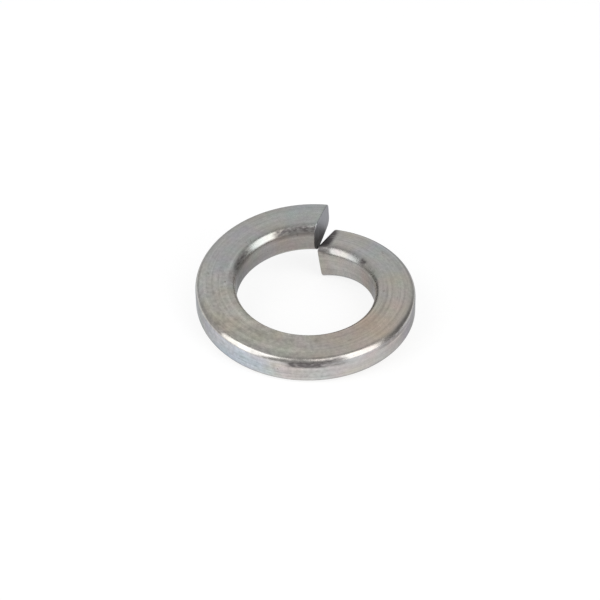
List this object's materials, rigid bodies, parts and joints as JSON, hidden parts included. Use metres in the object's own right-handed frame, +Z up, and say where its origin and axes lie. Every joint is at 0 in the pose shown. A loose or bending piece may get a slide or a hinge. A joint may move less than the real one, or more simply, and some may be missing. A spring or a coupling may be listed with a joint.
{
  "type": "spring lock washer",
  "caption": "Split ring of keystone-section spring steel wire, sprung open into a shallow left-hand helix, that goes under a nut or bolt head to keep the joint tight.",
  "frame": {"origin": "on the bore axis, level with the lowest edge of the low end", "axes": "+Z up along the bore axis, +Y towards the opening between the two ends"},
  "size_m": [0.0396, 0.0398, 0.0127],
  "materials": {
    "spring_steel": "bare satin, with faint drawing marks that run round the ring and darker sheared ends"
  },
  "bodies": {
    "root": {"spring_washer": "spring_steel"}
  },
  "joints": []
}
